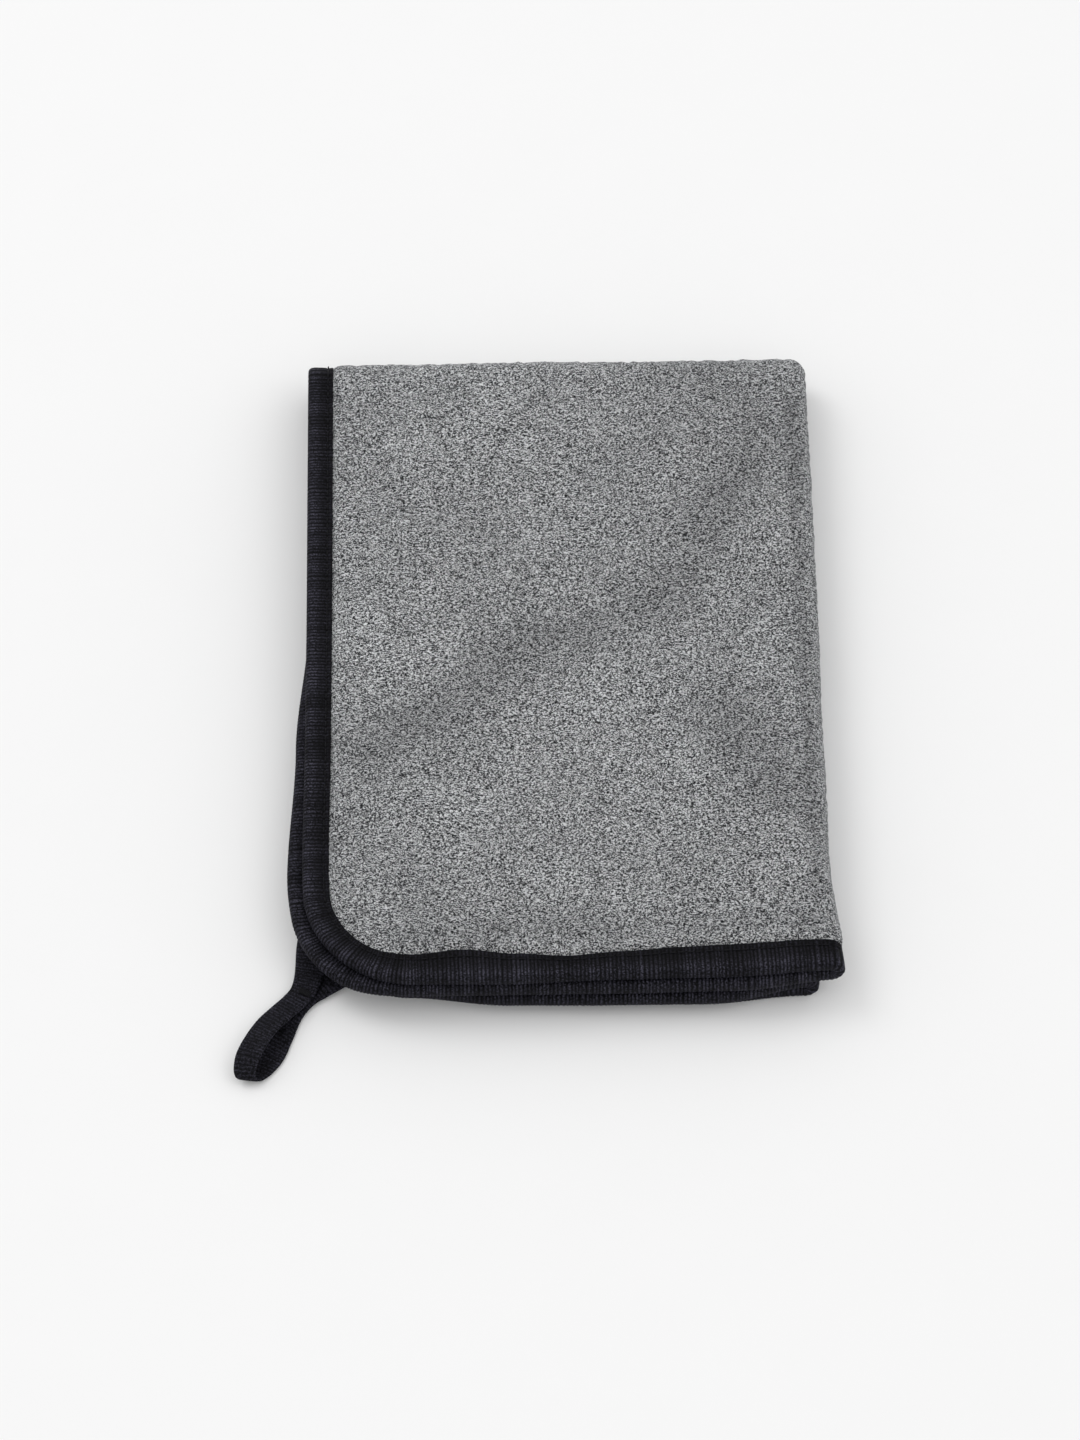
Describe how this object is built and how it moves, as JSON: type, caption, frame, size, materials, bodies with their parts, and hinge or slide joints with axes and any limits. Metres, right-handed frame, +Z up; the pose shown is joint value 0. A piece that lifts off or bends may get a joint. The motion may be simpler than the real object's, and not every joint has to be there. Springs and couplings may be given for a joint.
{
  "type": "quarter-folded drying cloth",
  "caption": "Plush two-ply cloth for washing and drying a car, with a tape-bound edge, rounded corners and a corner hanging loop, folded in quarters; the upper half opens over the last fold.",
  "frame": {"origin": "middle of the folded cloth's own footprint, without its hanging loop, on the face it lies on", "axes": "+Z up through the stack of layers; +Y towards the last fold, along the folded cloth's longer side; +X towards the first fold"},
  "size_m": [0.225, 0.3321, 0.0233],
  "materials": {
    "face_fleece": "mid-grey coral fleece with a short dense tufted pile, matt with a soft sheen",
    "back_fleece": "the same grey coral fleece, hidden inside the first fold",
    "binding_tape": "near-black knitted tape, ribbed across its length, faintly blue",
    "thread": "black polyester sewing thread with a slight lustre"
  },
  "bodies": {
    "lower_half": {"lower_face_ply": "face_fleece", "lower_back_ply": "back_fleece", "lower_binding_tape": "binding_tape", "lower_needle_thread": "thread", "lower_bobbin_thread": "thread", "hanging_loop_base": "binding_tape", "loop_bar_tack": "thread"},
    "upper_half": {"upper_face_ply": "face_fleece", "upper_back_ply": "back_fleece", "upper_binding_tape": "binding_tape", "upper_needle_thread": "thread", "upper_bobbin_thread": "thread"},
    "loop": {"hanging_loop": "binding_tape"}
  },
  "joints": [
    {"name": "last_fold", "type": "hinge", "parent": "lower_half", "child": "upper_half", "pos_m": [0, 0.1522, 0.01165], "axis": [-1, 0, 0], "range_deg": [0, 179.9]},
    {"name": "loop_swing", "type": "hinge", "parent": "lower_half", "child": "loop", "pos_m": [-0.10166, -0.14642, 0.004], "axis": [-0.866, 0.5, 0], "range_deg": [0, 80]}
  ]
}
